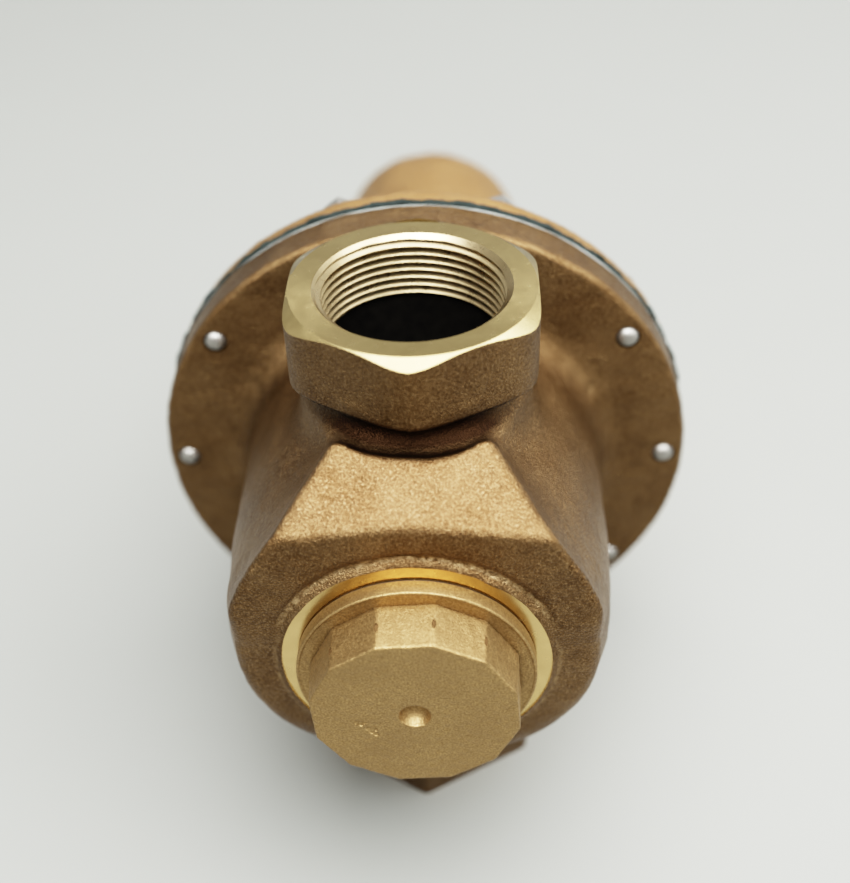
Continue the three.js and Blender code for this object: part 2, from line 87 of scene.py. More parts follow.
BODY_LOW, BODY_HIGH = box_mm("valve_body")
FLANGE_RADIUS = BODY_HIGH[0]
FLANGE_BACK = BODY_HIGH[1]
FLANGE_FRONT = FLANGE_BACK - 11.7
PORT_FACE = BODY_HIGH[2]
BOSS_FACE = BODY_LOW[1]
BOSS_RADIUS = 33.4
PLUG_HOLE = 26.8
CHAMBER_BACK = -4.0      # the back of the web that carries the seat ring

PLUG_LOW, PLUG_HIGH = box_mm("bottom_plug")
PLUG_FRONT = PLUG_LOW[1]
COLLAR_RADIUS = PLUG_HIGH[0]
PLUG_BASE = -54.6        # where the head meets the collar
PLUG_END = PLUG_HIGH[1]
HEAD_SIDES = 12
HEAD_FLAT = 25.2         # from the axis to a side of the head, at its base
HEAD_TURN = math.radians(18.9)

CAGE_LOW, CAGE_HIGH = box_mm("spring_cage")
CAGE_RIM_FRONT = CAGE_LOW[1]
CAGE_RIM_BACK = CAGE_RIM_FRONT + 6
CAGE_END = CAGE_HIGH[1]
BARREL_RADIUS = 30.5

SCREW_COUNT = 10
SCREW_CIRCLE = 70.5
SCREW_RADIUS = 3.0
SCREW_HOLE = SCREW_RADIUS + 0.3

HEX_FLATS = 60.4
HEX_CORNER = 33.3        # the hexagon's corners are rounded to this radius
HEX_FACE = 29.9          # the flat face ends and the corners' chamfer starts
HEX_FOOT = PORT_FACE - 19
THREAD_CREST = 22.2
THREAD_PITCH = 2.209
THREAD_HEIGHT = 1.65
THREAD_LENGTH = 17.6

STEM_HOLE = 5.3          # in everything that sits on the stem
ADJUSTER_RADIUS = 6.0
ADJUSTER_HOLE = ADJUSTER_RADIUS + 0.3
ADJUSTER_PITCH = 1.75


# ---- meshes

SLOTS = 5   # material slots every mesh starts with, so that cuts keep their own


def make_mesh(name, points, faces, slot=0):
    """A mesh in the frame's metres from points in millimetres."""
    mesh = bpy.data.meshes.new(name)
    mesh.from_pydata(to_frame(points).tolist(), [], [tuple(int(i) for i in face) for face in faces])
    for _ in range(SLOTS):
        mesh.materials.append(None)
    mesh.polygons.foreach_set("material_index", np.full(len(mesh.polygons), slot, np.int32))
    mesh.update()
    return mesh


def soften(points, radius, closed, steps=3):
    """Rounds every corner of a profile with an arc of about the given radius."""
    points = [np.array(p, float) for p in points]
    count = len(points)
    result = []
    for i, here in enumerate(points):
        if not closed and i in (0, count - 1):
            result.append(here)
            continue
        before = points[i - 1] - here
        after = points[(i + 1) % count] - here
        reach = min(radius, 0.45 * np.linalg.norm(before), 0.45 * np.linalg.norm(after))
        start = here + before / np.linalg.norm(before) * reach
        end = here + after / np.linalg.norm(after) * reach
        for step in range(steps + 1):
            t = step / steps
            result.append((1 - t) ** 2 * start + 2 * t * (1 - t) * here + t * t * end)
    return [tuple(p) for p in result]


def around(radius, angle, height, axis="Y"):
    """Points at angles and heights about the Y or Z axis."""
    across, up = radius * np.cos(angle), radius * np.sin(angle)
    parts = (up, height, across) if axis == "Y" else (across, up, height)
    return np.stack(np.broadcast_arrays(*parts), -1)


def full_turn(segments):
    return np.arange(segments) * TAU / segments


def turned(name, profile, closed=False, segments=128, axis="Y", slot=0):
    """Turns a profile of (radius, height) pairs, anticlockwise, about the Y or Z axis."""
    points, rows = [], []
    for radius, height in profile:
        steps = 1 if radius < 1e-9 else segments
        rows.append(range(len(points), len(points) + steps))
        points.extend(around(radius, full_turn(segments)[:steps], height, axis))
    if closed:
        rows.append(rows[0])
    faces = []
    for low, high in zip(rows, rows[1:]):
        for k in range(segments):
            a, b = low[k % len(low)], low[(k + 1) % len(low)]
            c, d = high[(k + 1) % len(high)], high[k % len(high)]
            face = [a, b, c, d]
            face = [v for i, v in enumerate(face) if v not in face[:i]]
            if len(face) > 2:
                faces.append(face)
    return make_mesh(name, points, faces, slot)


def rod(name, radius, start, end, axis="Y", segments=128, slot=0):
    return turned(name, ring_outline(0, radius, start, end), False, segments, axis, slot)


def ring_outline(inner, outer, front, back):
    return [(inner, front), (outer, front), (outer, back), (inner, back)]


def about_crossing(change):
    """A change about the crossing of the axes, for a mesh that is in the frame's metres."""
    return Matrix.Translation((0, RUN_Y, 0)) @ change @ Matrix.Translation((0, -RUN_Y, 0))


def block(name, low, high, slot=0):
    """A box, for trimming."""
    corners = [(x, y, z) for x in (low[0], high[0]) for y in (low[1], high[1]) for z in (low[2], high[2])]
    faces = [(0, 1, 3, 2), (4, 6, 7, 5), (0, 4, 5, 1), (2, 3, 7, 6), (0, 2, 6, 4), (1, 5, 7, 3)]
    return make_mesh(name, corners, faces, slot)


def loft(name, loops, slot=0):
    """A closed skin through loops of points, an array of (loops, points, 3), with flat ends."""
    count, segments, _ = loops.shape
    index = np.arange(count * segments).reshape(count, segments)
    onward = np.roll(index, -1, axis=1)
    sides = np.stack([index[:-1], onward[:-1], onward[1:], index[1:]], -1).reshape(-1, 4)
    return make_mesh(name, loops.reshape(-1, 3), [*sides, index[0][::-1], index[-1]], slot)


def duct(name, top, bottom, segments=96, slot=0):
    """A sloping round duct between two level circles, each given as (y, z, radius)."""
    circles = [around(radius, full_turn(segments), z, "Z") + (0, y, 0) for y, z, radius in (bottom, top)]
    return loft(name, np.array(circles), slot)


def helical(name, start, end, radius_at, axis="Y", rows=100, segments=144, slot=0):
    """A closed round bar whose radius is radius_at(angle, height), such as a screw thread."""
    height, angle = np.meshgrid(np.linspace(start, end, rows), full_turn(segments), indexing="ij")
    return loft(name, around(radius_at(angle, height), angle, height, axis), slot)


def combine(base, tool, operation):
    """DIFFERENCE, UNION or INTERSECT of two closed meshes, as a new mesh."""
    scene = bpy.context.scene
    first = bpy.data.objects.new("first", base)
    second = bpy.data.objects.new("second", tool)
    for item in (first, second):
        scene.collection.objects.link(item)
    change = first.modifiers.new("combine", "BOOLEAN")
    change.operation = operation
    change.solver = "MANIFOLD"
    change.object = second
    scene.view_layers[0].update()
    graph = bpy.context.evaluated_depsgraph_get()
    result = bpy.data.meshes.new_from_object(first.evaluated_get(graph))
    for item in (first, second):
        bpy.data.objects.remove(item)
    return result


def cut(base, *tools):
    for tool in tools:
        base = combine(base, tool, "DIFFERENCE")
    return base


def values_of(items, key, kind=np.int32, width=1):
    """One property of all of a mesh's polygons, loops or vertices."""
    values = np.empty(len(items) * width, kind)
    items.foreach_get(key, values)
    return values


def shade(mesh, angle=32, rough_slots=(), rough_angle=70):
    """Smooth shading, with sharp edges where two faces meet at more than an angle in degrees.
    Faces in rough_slots are castings, whose edges stay soft up to rough_angle."""
    mesh.shade_smooth()
    normals = values_of(mesh.polygons, "normal", np.float32, 3).reshape(-1, 3)
    slots = values_of(mesh.polygons, "material_index")
    loop_edges = values_of(mesh.loops, "edge_index")
    owner = np.repeat(np.arange(len(slots)), values_of(mesh.polygons, "loop_total"))
    order = np.argsort(loop_edges, kind="stable")
    edges, faces = loop_edges[order], owner[order]
    pair = np.flatnonzero(edges[1:] == edges[:-1])
    left, right = faces[pair], faces[pair + 1]
    cosine = np.einsum("ij,ij->i", normals[left], normals[right])
    is_rough = np.isin(slots, rough_slots)
    limit = np.where(is_rough[left] & is_rough[right], math.cos(math.radians(rough_angle)),
                     math.cos(math.radians(angle)))
    sharp = np.zeros(len(mesh.edges), bool)
    sharp[edges[pair]] = (cosine < limit) | (slots[left] != slots[right])
    attribute = mesh.attributes.get("sharp_edge") or mesh.attributes.new("sharp_edge", "BOOLEAN", "EDGE")
    attribute.data.foreach_set("value", sharp)
    return mesh


# ---- distance fields, for the castings

class Field:
    """A grid of signed distances in millimetres, negative inside."""

    def __init__(self, low, high, voxel):
        self.low, self.voxel = np.array(low, float), voxel
        counts = np.ceil((np.array(high) - self.low) / voxel).astype(int) + 1
        axes = [self.low[i] + voxel * np.arange(counts[i]) for i in range(3)]
        self.x, self.y, self.z = (a.astype(np.float32) for a in axes)
        self.X = self.x[:, None, None]
        self.Y = self.y[None, :, None]
        self.Z = self.z[None, None, :]

    def turned(self, profile, axis="Y"):
        """Distance to a solid turned about the Y or Z axis. Points left of the axis keep its inside whole."""
        across = self.z if axis == "Y" else self.y
        along = self.y if axis == "Y" else self.z
        radius = np.hypot(self.x[:, None], across[None, :])
        samples = np.arange(0, radius.max() + 2 * self.voxel, self.voxel * 0.5, dtype=np.float32)
        table = polygon_distance(samples[:, None], along[None, :], profile)
        place = radius / (self.voxel * 0.5)
        index = place.astype(int)
        part = (place - index)[..., None]
        values = table[index] * (1 - part) + table[index + 1] * part
        return values.transpose(0, 2, 1) if axis == "Y" else values

    def mesh(self, distance, name, slot=0):
        grid = openvdb.FloatGrid(background=3.0)
        grid.copyFromArray(np.ascontiguousarray(distance, np.float32))
        grid.transform = openvdb.createLinearTransform(voxelSize=self.voxel)
        points, quads = grid.convertToQuads(isovalue=0.0)
        return make_mesh(name, points + self.low, quads[:, ::-1], slot)


def polygon_distance(px, py, points):
    """Signed distance from points to a closed polygon."""
    corners = np.array(points, np.float32)
    best = np.full(np.broadcast(px, py).shape, 1e9, np.float32)
    inside = np.zeros(best.shape, bool)
    for (ax, ay), (bx, by) in zip(corners, np.roll(corners, -1, axis=0)):
        ex, ey = bx - ax, by - ay
        wx, wy = px - ax, py - ay
        t = np.clip((wx * ex + wy * ey) / (ex * ex + ey * ey), 0, 1)
        best = np.minimum(best, (wx - ex * t) ** 2 + (wy - ey * t) ** 2)
        crosses = (ay > py) != (by > py)
        if ey != 0:
            inside ^= crosses & (px < ax + (py - ay) * ex / ey)
    return np.where(inside, -1, 1) * np.sqrt(best)


def smooth_union(a, b, k):
    """Either of two solids, with a fillet about k millimetres wide where they meet."""
    h = np.clip(0.5 + 0.5 * (b - a) / k, 0, 1)
    return b + (a - b) * h - k * h * (1 - h)


def smooth_common(a, b, k):
    """What two solids share, with its new edges rounded over about k millimetres."""
    return -smooth_union(-a, -b, k)


def smooth_step(low, high, value):
    t = np.clip((value - low) / (high - low), 0, 1)
    return t * t * (3 - 2 * t)


def plane(field, first, second, third):
    """Distance in front of the plane through three points, anticlockwise seen from outside."""
    a, b, c = (np.array(p, float) for p in (first, second, third))
    normal = np.cross(b - a, c - a)
    normal /= np.linalg.norm(normal)
    return (field.X - a[0]) * normal[0] + (field.Y - a[1]) * normal[1] + (field.Z - a[2]) * normal[2]


def lumps(field, wavelength, seed):
    """Gentle unevenness between -1 and 1, from a few sine waves in fixed random directions."""
    draw = np.random.default_rng(seed)
    total = 0
    waves = 5
    for _ in range(waves):
        direction = draw.normal(size=3)
        direction *= TAU / (wavelength * draw.uniform(0.7, 1.5)) / np.linalg.norm(direction)
        phase = draw.uniform(0, TAU)
        total = total + np.sin(
            field.X * direction[0] + field.Y * direction[1] + field.Z * direction[2] + phase
        )
    return total / waves


# ---- materials

class NodeTree:
    """A small helper that adds nodes to a tree and links them."""

    def __init__(self, tree):
        self.tree = tree

    def add(self, kind, **settings):
        node = self.tree.nodes.new(kind)
        for key, value in settings.items():
            setattr(node, key, value)
        return node

    def put(self, socket, value):
        """Links a socket to another one, or gives it a number or a (red, green, blue) colour."""
        if isinstance(value, bpy.types.NodeSocket):
            self.tree.links.new(value, socket)
        elif isinstance(value, tuple):
            socket.default_value = (*value, 1.0)
        else:
            socket.default_value = value

    def math(self, operation, a, b=0.0):
        node = self.add("ShaderNodeMath", operation=operation)
        self.put(node.inputs[0], a)
        self.put(node.inputs[1], b)
        return node.outputs[0]

    def separate(self, vector):
        node = self.add("ShaderNodeSeparateXYZ")
        self.put(node.inputs[0], vector)
        return node.outputs["X"], node.outputs["Y"], node.outputs["Z"]

    def span(self, value, low, high, to_low=0.0, to_high=1.0):
        """Maps low..high to to_low..to_high, and holds the ends beyond them."""
        node = self.add("ShaderNodeMapRange", clamp=True)
        for key, item in zip(("Value", "From Min", "From Max", "To Min", "To Max"),
                             (value, low, high, to_low, to_high)):
            self.put(node.inputs[key], item)
        return node.outputs["Result"]

    def mix(self, share, first, second, strength=None):
        """Goes from first to second as share goes from 0 to 1, or only as far as strength."""
        if strength is not None:
            share = self.math("MULTIPLY", share, strength)
        node = self.add("ShaderNodeMix", data_type="RGBA")
        self.put(node.inputs["Factor"], share)
        self.put(node.inputs[6], first)
        self.put(node.inputs[7], second)
        return node.outputs[2]


class Surface(NodeTree):
    """The nodes of one metal, rubber or floor material."""

    def __init__(self, name):
        self.material = bpy.data.materials.new(name)
        self.material.use_nodes = True
        super().__init__(self.material.node_tree)
        self.shader = self.tree.nodes["Principled BSDF"]
        self.position = self.add("ShaderNodeTexCoord").outputs["Object"]

    def noise(self, size_mm, detail=3, roughness=0.55, vector=None, distortion=0.0):
        node = self.add("ShaderNodeTexNoise")
        self.put(node.inputs["Vector"], vector or self.position)
        self.put(node.inputs["Scale"], 1 / (size_mm * MM))
        self.put(node.inputs["Detail"], detail)
        self.put(node.inputs["Roughness"], roughness)
        self.put(node.inputs["Distortion"], distortion)
        return node.outputs["Fac"]

    def bump(self, height, distance_mm, strength=1.0):
        node = self.add("ShaderNodeBump")
        self.put(node.inputs["Height"], height)
        self.put(node.inputs["Distance"], distance_mm * MM)
        self.put(node.inputs["Strength"], strength)
        return node.outputs["Normal"]

    def shelter(self, reach_mm):
        """1 in the open, towards 0 in corners and grooves."""
        node = self.add("ShaderNodeAmbientOcclusion", samples=6, only_local=True)
        self.put(node.inputs["Distance"], reach_mm * MM)
        return node.outputs["AO"]

    def pointiness(self):
        return self.add("ShaderNodeNewGeometry").outputs["Pointiness"]

    def radius(self, axis):
        """Distance from the stem's Y axis, or from the pipe run's Z axis."""
        x, y, across = self.separate(self.position)
        if axis == "Z":
            across = self.math("SUBTRACT", y, RUN_Y)
        square = self.math("ADD", self.math("MULTIPLY", x, x), self.math("MULTIPLY", across, across))
        return self.math("SQRT", square)

    def finish(self, **inputs):
        for key, value in inputs.items():
            self.put(self.shader.inputs[key.replace("_", " ")], value)
        return self.material


def darker(tone, share):
    """A colour at a share of its brightness."""
    return tuple(share * part for part in tone)


def cast_bronze(name, dark, light, edge_light, grain_mm=0.48, painted_groove_shade=False):
    """Sand-cast bronze: a mottled brown skin with a sandy grain, lighter edges that are both rubbed wear and
    painted highlight, and recesses darkened by oxide and painted shade.
    """
    n = Surface(name)
    grain = n.span(n.noise(grain_mm, 3, 0.65), 0.32, 0.68)
    mottle = n.span(n.noise(14, 3, 0.6), 0.38, 0.66)
    speck = n.span(n.noise(0.6, 2, 0.6), 0.35, 0.75)
    base = n.mix(mottle, dark, light, 0.25)
    base = n.mix(speck, base, light, 0.50)
    base = n.mix(n.span(grain, 0.0, 0.45, 0.38, 0.0), base, darker(dark, 0.35))
    base = n.mix(n.span(grain, 0.60, 1.0, 0.0, 0.22), base, edge_light)
    stain = n.span(n.noise(30, 4, 0.65, distortion=0.6), 0.55, 0.72)
    base = n.mix(stain, base, darker(dark, 0.55), 0.20)
    # Lighter edges: rubbed wear, and painted highlights along the edges.
    lighter_edges = n.span(n.pointiness(), 0.510, 0.56)
    patchy = n.span(n.noise(1.6, 3, 0.6), 0.40, 0.62)
    base = n.mix(lighter_edges, base, edge_light, patchy)
    # Darker within 9 mm of shelter: oxide in the hollows, and painted shade.
    recess = n.span(n.shelter(9), 0.35, 0.85, 0.30, 1.0)
    base = n.mix(recess, darker(dark, 0.25), base)
    # Painted shade: near black in the front of the grooves under the hexagons, where their corners overhang.
    if painted_groove_shade:
        base = n.mix(groove_shade_mask(n), base, (0.016, 0.008, 0.004))
    coarse = n.noise(2.2, 3, 0.55)
    height = n.math("ADD", n.math("MULTIPLY", grain, 0.34), n.math("MULTIPLY", coarse, 0.55))
    rough = n.span(n.noise(1.1, 3, 0.6), 0.3, 0.7, 0.34, 0.48)
    return n.finish(Base_Color=base, Metallic=1.0, Roughness=rough, Normal=n.bump(height, 0.36))


def groove_shade_mask(n):
    """Where painted shade goes: 1 in the grooves under the front corners of the two hexagons, fading out
    above and below.
    """
    _, y, z = n.separate(n.position)
    height = n.math("ABSOLUTE", z)
    foot = HEX_FOOT * MM
    low = n.span(height, foot - 8.5 * MM, foot - 6.5 * MM)
    high = n.span(height, foot, foot + 0.5 * MM, 1, 0)
    near = n.span(n.radius("Z"), 34.3 * MM, 35.6 * MM, 1, 0)
    front = n.span(y, RUN_Y - 22 * MM, RUN_Y - 12 * MM, 1, 0)
    return n.math("MULTIPLY", n.math("MULTIPLY", low, high), n.math("MULTIPLY", near, front))


def turned_metal(name, axis, base, deep, roughness=0.24, anisotropic=0.7, shade_reach_mm=0):
    """Turned metal: fine concentric tool lines about an axis, with a stretched highlight.
    With a reach in millimetres, places sheltered within it are darkened with painted shade."""
    n = Surface(name)
    lines = n.add("ShaderNodeCombineXYZ")
    n.put(lines.inputs[0], n.radius(axis))
    fine = n.noise(0.12, 2, 0.7, vector=lines.outputs[0])
    mottle = n.span(n.noise(7, 4, 0.6, distortion=0.4), 0.30, 0.75)
    tone = n.mix(mottle, base, deep, 0.6)
    # Painted shade in sheltered places.
    if shade_reach_mm:
        tone = n.mix(n.span(n.shelter(shade_reach_mm), 0.42, 0.72), darker(deep, 0.25), tone)
    rough = n.span(n.noise(3, 3, 0.6), 0.3, 0.7, roughness - 0.02, roughness + 0.04)
    tangent = n.add("ShaderNodeTangent", direction_type="RADIAL", axis=axis)
    return n.finish(Base_Color=tone, Metallic=1.0, Roughness=rough, Anisotropic=anisotropic,
                    Tangent=tangent.outputs[0], Normal=n.bump(fine, 0.012, 0.6))


def plain_metal(name, base, deep, roughness):
    """Plated or drawn steel with a soft unevenness."""
    n = Surface(name)
    mottle = n.span(n.noise(2.5, 4, 0.6), 0.35, 0.7)
    tone = n.mix(mottle, base, deep, 0.8)
    lighter_edges = n.span(n.pointiness(), 0.52, 0.60)
    tone = n.mix(lighter_edges, tone, base, 0.5)
    rough = n.span(n.noise(1.2, 3, 0.6), 0.3, 0.7, roughness - 0.06, roughness + 0.1)
    return n.finish(Base_Color=tone, Metallic=1.0, Roughness=rough,
                    Normal=n.bump(n.noise(0.4, 3, 0.6), 0.02))


def plug_brass(name):
    """Shot-blasted yellow brass: an even sandy grain, golden, darker in its pits and dimple with painted
    shade.
    """
    n = Surface(name)
    speck = n.span(n.noise(0.5, 2, 0.6), 0.30, 0.72)
    tone = n.mix(speck, (0.16, 0.098, 0.040), (0.34, 0.23, 0.105))
    mottle = n.span(n.noise(11, 3, 0.6), 0.35, 0.7)
    tone = n.mix(mottle, tone, (0.18, 0.115, 0.052), 0.35)
    # Painted shade in the pits, the dents and the dimple.
    recess = n.span(n.shelter(2.2), 0.30, 0.62)
    tone = n.mix(recess, (0.035, 0.018, 0.008), tone)
    grain = n.math("ADD", n.noise(0.42, 2, 0.6), n.math("MULTIPLY", n.noise(2.0, 3, 0.5), 0.5))
    rough = n.span(n.noise(0.8, 3, 0.6), 0.3, 0.7, 0.46, 0.58)
    return n.finish(Base_Color=tone, Metallic=1.0, Roughness=rough, Normal=n.bump(grain, 0.13))


def sheet(name, base, deep, sheen, roughness=0.75):
    """Rubber, fibre, the pits and the near-black painted shade inside the body: matt, finely grained, a
    little uneven in tone.
    """
    n = Surface(name)
    tone = n.mix(n.span(n.noise(3, 4, 0.6), 0.35, 0.68), base, deep)
    return n.finish(Base_Color=tone, Metallic=0.0, Roughness=roughness, Specular_IOR_Level=sheen,
                    Normal=n.bump(n.noise(0.35, 3, 0.6), 0.05))


MATERIALS = {
    # The body's bronze, with painted shade in the grooves under the hexagons.
    "cast": cast_bronze("cast_bronze", (0.066, 0.033, 0.012), (0.238, 0.152, 0.074),
                        (0.54, 0.385, 0.21), grain_mm=0.50, painted_groove_shade=True),
    # Near black: painted shade inside the passages, bores and screw holes.
    "inside": sheet("inside_shade", (0.0012, 0.0011, 0.0010), (0.002, 0.0018, 0.0015),
                    0.0, roughness=0.95),
    # The port faces: painted shade where they are sheltered within 22 mm.
    "port_face": turned_metal("machined_port", "Z", (0.45, 0.345, 0.160), (0.33, 0.24, 0.105),
                              shade_reach_mm=22),
    "boss_face": turned_metal("machined_boss", "Y", (0.57, 0.405, 0.18), (0.40, 0.28, 0.12)),
    "thread": turned_metal("machined_thread", "Z", (0.38, 0.295, 0.165), (0.24, 0.18, 0.093),
                           roughness=0.28, anisotropic=0.5),
    "cage": cast_bronze("cast_cage", (0.29, 0.150, 0.052), (0.47, 0.28, 0.115),
                        (0.70, 0.50, 0.27)),
    "plug": plug_brass("plug_brass"),
    "turned_brass": turned_metal("turned_brass", "Y", (0.66, 0.50, 0.24), (0.52, 0.38, 0.17)),
    "steel": plain_metal("zinc_steel", (0.30, 0.29, 0.265), (0.19, 0.18, 0.165), 0.48),
    "turned_steel": turned_metal("turned_steel", "Y", (0.55, 0.55, 0.54), (0.40, 0.40, 0.39)),
    "spring": plain_metal("spring_steel", (0.20, 0.20, 0.21), (0.11, 0.11, 0.12), 0.36),
    "rubber": sheet("rubber", (0.005, 0.008, 0.007), (0.014, 0.019, 0.018), 0.1, roughness=0.85),
    "pit": sheet("pit", (0.040, 0.022, 0.009), (0.070, 0.040, 0.017), 0.0),
    "dark_fibre": sheet("dark_fibre", (0.030, 0.020, 0.012), (0.050, 0.034, 0.020), 0.2),
    "fibre": sheet("fibre", (0.24, 0.255, 0.24), (0.15, 0.165, 0.155), 0.1),
}


# ---- pieces

PIECES = []


def add_piece(name, mesh, materials, body, replaces, slot, place=None):
    """An object with its materials, riding on a body of the frame in place of its CAD nodes."""
    indices = values_of(mesh.polygons, "material_index")
    mesh.materials.clear()
    for key in materials:
        mesh.materials.append(MATERIALS[key])
    mesh.polygons.foreach_set("material_index", np.minimum(indices, len(materials) - 1))
    item = bpy.data.objects.new(name, mesh)
    bpy.context.scene.collection.objects.link(item)
    if place is not None:
        item.matrix_world = place
    PIECES.append(item)
    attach(item, body)
    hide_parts(*replaces)
    return item


def screw_places():
    """The x and z of each screw around the flange."""
    for i in range(SCREW_COUNT):
        angle = TAU * i / SCREW_COUNT
        yield SCREW_CIRCLE * math.cos(angle), SCREW_CIRCLE * math.sin(angle)


def moved(mesh, x, z):
    """A copy of a mesh moved across the stem axis, in millimetres."""
    copy = mesh.copy()
    copy.transform(Matrix.Translation((x * MM, 0, z * MM)))
    return copy


def cut_at_screws(mesh, *tools):
    """Cuts tools that are on the stem axis out of a mesh at every screw."""
    for x, z in screw_places():
        mesh = cut(mesh, *(moved(tool, x, z) for tool in tools))
    return mesh


# ---- valve body

CAST, INSIDE, PORT, BOSS, THREAD = range(5)
BODY_MATERIALS = ("cast", "inside", "port_face", "boss_face", "thread")


def body_casting():
    """The rough casting, before any machining."""
    field = Field((-79, -55, -81), (79, 46, 81), 0.95)
    shape = smooth_union(bowl(field), flange(field), 9)
    shape = smooth_union(shape, inlet_roof(field), 7)
    for side in (1, -1):
        shape = smooth_union(shape, neck(field, side), 6)
        shape = smooth_common(shape, -undercut(field, side), 2.6)
    outlet_shell = field.turned([(-60, -8), (36, -8), (36, -28), (29.2, -52), (-60, -52)][::-1], "Z")
    shape = smooth_union(shape, outlet_shell, 8)
    shape = smooth_common(shape, BOSS_FACE + dish(field) - field.Y, 0.8)
    shape = smooth_union(shape, boss(field), 0.6)
    shape = shape + 0.22 * lumps(field, 16.0, 5) + 0.10 * lumps(field, 6.0, 8)
    for side in (1, -1):
        shape = smooth_union(shape, port_hexagon(field, side), 1.0)
    return field.mesh(shape, "body_casting", CAST)


def bowl(field):
    """The drum under the flange. A cone bevels its front rim on the outlet's side."""
    face, rim = -49.6, 45.8
    drum = field.turned([
        (-60, face), (rim - 3.1, face), (rim - 1.5, face + 0.5), (rim - 0.4, face + 1.6), (rim, face + 3.2),
        (48.6, -37.5), (49.7, -26), (50.2, -15), (50.2, 20), (50.8, 36), (-60, 36),
    ])
    bevel = 0.72 * (np.hypot(field.X, field.Z - 10) - 50.0 - 0.967 * (field.Y + 50.2))
    return smooth_common(drum, bevel, 4)


def flange(field):
    return field.turned([
        (-90, FLANGE_FRONT), (FLANGE_RADIUS - 0.9, FLANGE_FRONT), (FLANGE_RADIUS - 0.2, FLANGE_FRONT + 0.4),
        (FLANGE_RADIUS, FLANGE_FRONT + 1.1), (FLANGE_RADIUS, FLANGE_BACK + 3), (-90, FLANGE_BACK + 3),
    ])


def neck(field, side):
    """The round neck between the drum and a port's hexagon."""
    return field.turned(ring_outline(-60, 29.5, side * 10, side * (HEX_FOOT + 4))[::side], "Z")


def dish(field):
    """How far the front sinks in a shallow ring beside the boss, on the inlet's side."""
    return np.exp(-((np.hypot(field.X, field.Z) - 35.8) / 1.1) ** 2) * smooth_step(4, 24, field.Z)


def boss(field):
    """The raised ring round the plug, uneven on the inlet's side."""
    top, foot = -50.9, -45
    ring = field.turned([
        (-60, top), (33.7, top), (34.2, top + 0.5), (34.8, top + 2.5), (35.4, foot), (-60, foot),
    ])
    return ring + 0.40 * lumps(field, 4.0, 3) * smooth_step(-5, 15, field.Z)


def inlet_roof(field):
    """The block that carries the inlet passage from the neck down to the front of the drum."""
    top, low, side = (17.6, -32.4, 58.2), (34.2, -51.6, 40.6), (46.0, -46.0, 15.0)
    mirrored = [(-x, y, z) for x, y, z in (top, low, side)]
    hollow = 0.7 * np.exp(-(field.X / 16) ** 2)
    shape = plane(field, top, mirrored[0], low) + hollow
    for limit, edge in (
        (plane(field, low, side, top), 2.8),
        (plane(field, mirrored[0], mirrored[2], mirrored[1]), 2.8),
        (BOSS_FACE - field.Y, 1.0), (field.Y - 24, 6), (np.abs(field.X) - 45.5, 6),
        (field.Z - 60, 2), (10 - field.Z, 10),
    ):
        shape = smooth_common(shape, limit, edge)
    return shape


def undercut(field, side):
    """A rounded groove under the front corners of a port's hexagon."""
    across = np.hypot(field.X, field.Y) - 31.8
    along = side * field.Z - HEX_FOOT + 2.6
    return np.hypot(across, along) - 4.4 * smooth_step(6, -14, field.Y)


def port_hexagon(field, side):
    """A port's hexagon, its corners towards the front and back. The inlet's are rounded to a circle."""
    half = HEX_FLATS / 2
    x, y = np.abs(field.X), np.abs(field.Y)
    shape = smooth_common(x - half, 0.5 * x + math.sqrt(0.75) * y - half, 1.5)
    if side > 0:
        shape = smooth_common(shape, np.hypot(field.X, field.Y) - HEX_CORNER, 2.0)
    along = side * field.Z
    underside = HEX_FOOT - 0.2 * (HEX_CORNER - np.hypot(field.X, field.Y)) - along
    return smooth_common(smooth_common(shape, underside, 0.8), along - PORT_FACE - 2, 0.5)


def port_thread(angle, height):
    """Radius of a port's tapered thread. The port's face is at height 0 and the bore is below it."""
    phase = (height / THREAD_PITCH - angle / TAU) % 1.0
    flank = np.clip(np.abs(phase - 0.5) * 2.35 - 0.10, 0, 1)
    mouth = np.clip(height + 1.9, 0, 10) * 1.05
    crest = THREAD_CREST + height / 32
    return np.maximum(crest + THREAD_HEIGHT * flank, crest + mouth)


def port_tools(side):
    """What machines one port: its face, the threaded bore and, on the inlet, the corners' chamfer."""
    face, clear = PORT_FACE, PORT_FACE + 9
    face_cut = block("face", (-50, -50, face), (50, 40, clear), PORT)
    rows = 190
    bore = helical("bore", -THREAD_LENGTH, 0.6, port_thread, "Z", rows, 144, THREAD)
    bore.transform(Matrix.Translation((0, 0, face * MM)))
    if side > 0:
        reach = HEX_CORNER + 0.25
        drop = (reach - HEX_FACE) * 0.6
        outline = [(HEX_FACE, face), (reach, face - drop), (reach, clear), (HEX_FACE, clear)]
        return [face_cut, turned("chamfer", outline, True, 144, "Z", PORT), bore]
    for tool in (face_cut, bore):
        tool.transform(about_crossing(Matrix.Rotation(math.pi, 4, "X")))
    return [face_cut, bore]


